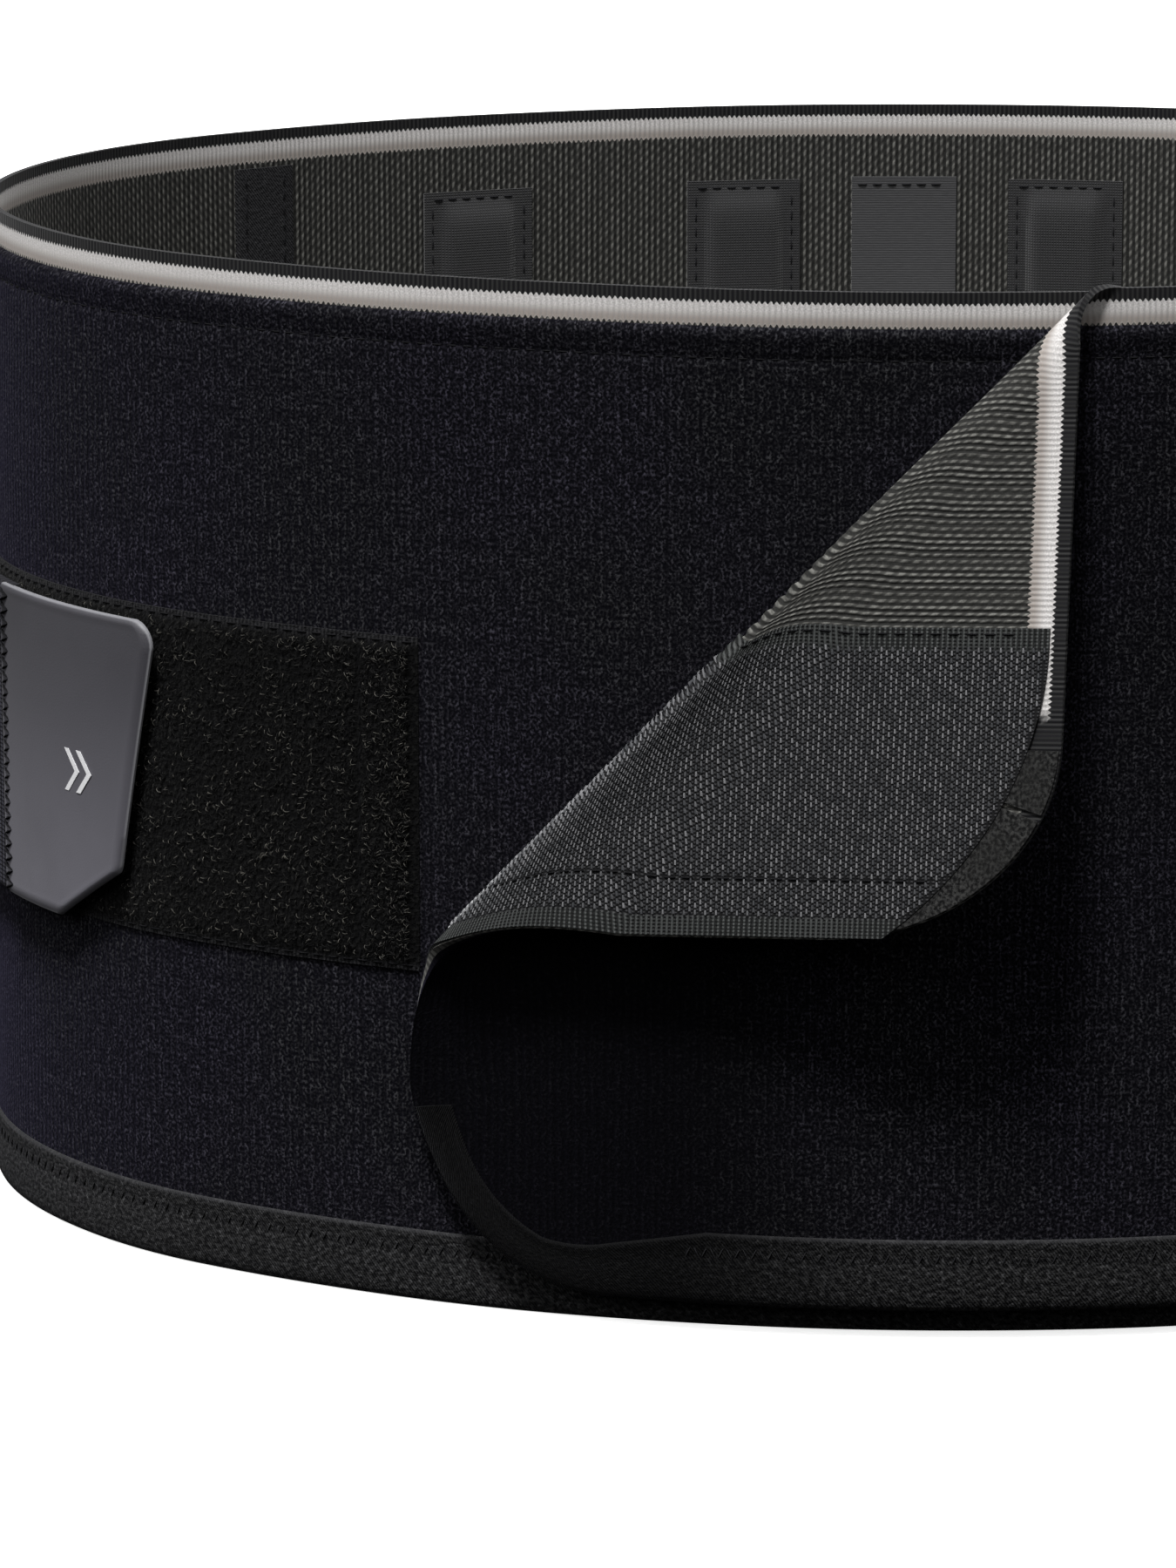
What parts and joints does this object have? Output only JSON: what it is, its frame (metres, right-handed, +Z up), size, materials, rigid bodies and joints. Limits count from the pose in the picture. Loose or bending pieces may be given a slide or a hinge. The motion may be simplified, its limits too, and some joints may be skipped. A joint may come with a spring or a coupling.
{
  "type": "lumbar support belt",
  "caption": "Elastic lumbar support belt in its worn oval: hook-and-loop front flap with its corner folded back, side pull straps with peel tabs, and spring stays in the back.",
  "frame": {"origin": "centre of the worn oval, on the plane of the belt's lower edge", "axes": "+Z up along the wearer's body, -Y towards the front closure, +X towards the wearer's left"},
  "size_m": [0.3702, 0.2867, 0.1915],
  "materials": {
    "elastic_web": "woven elastic, fine vertical ribs, light grey stripe near the top selvage",
    "loop_fabric": "brushed loop knit, matt black with a blue-violet sheen",
    "edge_binding": "smooth charcoal binding tape with zigzag stitching",
    "label_tape": "plain black satin label tape, no print",
    "pocket_cloth": "woven pocket cloth",
    "stay_plastic": "smooth flexible plastic",
    "anchor_tape": "webbing patch with box stitching",
    "strap_elastic": "ribbed elastic webbing",
    "loop_pile": "deep fuzzy loop pile with woven selvages",
    "hook_tape": "moulded hook field on woven tape",
    "tab_rubber": "smooth moulded tab with a raised rim"
  },
  "bodies": {
    "back_panel": {"back_web": "elastic_web", "back_face": "loop_fabric", "back_binding": "edge_binding", "care_label": "label_tape", "stay_pocket_1": "pocket_cloth", "stay_pocket_2": "pocket_cloth", "stay_pocket_3": "pocket_cloth", "stay_pocket_4": "pocket_cloth", "stay_1": "stay_plastic", "stay_2": "stay_plastic", "stay_3": "stay_plastic", "stay_4": "stay_plastic", "strap_anchor_right": "anchor_tape", "strap_anchor_left": "anchor_tape", "strap_rear_right": "strap_elastic", "strap_rear_left": "strap_elastic"},
    "under_wing": {"under_web": "elastic_web", "under_face": "loop_fabric", "under_binding": "edge_binding", "loop_patch_right": "loop_pile", "strap_mid_right": "strap_elastic"},
    "over_wing": {"over_web": "elastic_web", "over_face": "loop_fabric", "over_binding": "edge_binding", "flap_hook": "hook_tape", "loop_patch_left": "loop_pile", "strap_mid_left": "strap_elastic"},
    "flap_corner": {"corner_web": "elastic_web", "corner_face": "loop_fabric", "corner_hook": "hook_tape"},
    "right_strap": {"strap_end_right": "strap_elastic"},
    "right_tab": {"tab_right": "tab_rubber", "tab_hook_right": "hook_tape"},
    "left_strap": {"strap_end_left": "strap_elastic"},
    "left_tab": {"tab_left": "tab_rubber", "tab_hook_left": "hook_tape"}
  },
  "joints": [
    {"name": "over_wing_open", "type": "hinge", "parent": "back_panel", "child": "over_wing", "pos_m": [0.15685, 0.07711, 0.095], "axis": [0, 0, 1], "range_deg": [0, 75]},
    {"name": "under_wing_open", "type": "hinge", "parent": "back_panel", "child": "under_wing", "pos_m": [-0.15685, 0.07711, 0.095], "axis": [0, 0, -1], "range_deg": [0, 30]},
    {"name": "corner_fold", "type": "hinge", "parent": "over_wing", "child": "flap_corner", "pos_m": [0.02062, -0.13831, 0.19086], "axis": [-0.725, 0.0745, -0.6847], "range_deg": [0, 150]},
    {"name": "right_strap_pull", "type": "slide", "parent": "under_wing", "child": "right_strap", "axis": [0.3783, -0.9257, 0], "range_m": [0, 0.015]},
    {"name": "right_tab_peel", "type": "hinge", "parent": "right_strap", "child": "right_tab", "pos_m": [-0.17717, -0.04546, 0.092], "axis": [0, 0, -1], "range_deg": [0, 70]},
    {"name": "left_strap_pull", "type": "slide", "parent": "over_wing", "child": "left_strap", "axis": [-0.3783, -0.9257, 0], "range_m": [0, 0.015]},
    {"name": "left_tab_peel", "type": "hinge", "parent": "left_strap", "child": "left_tab", "pos_m": [0.17717, -0.04546, 0.092], "axis": [0, 0, 1], "range_deg": [0, 70]}
  ],
  "couplings": [
    {"joint": "under_wing_open", "follows": "over_wing_open", "ratio": 0.4}
  ]
}
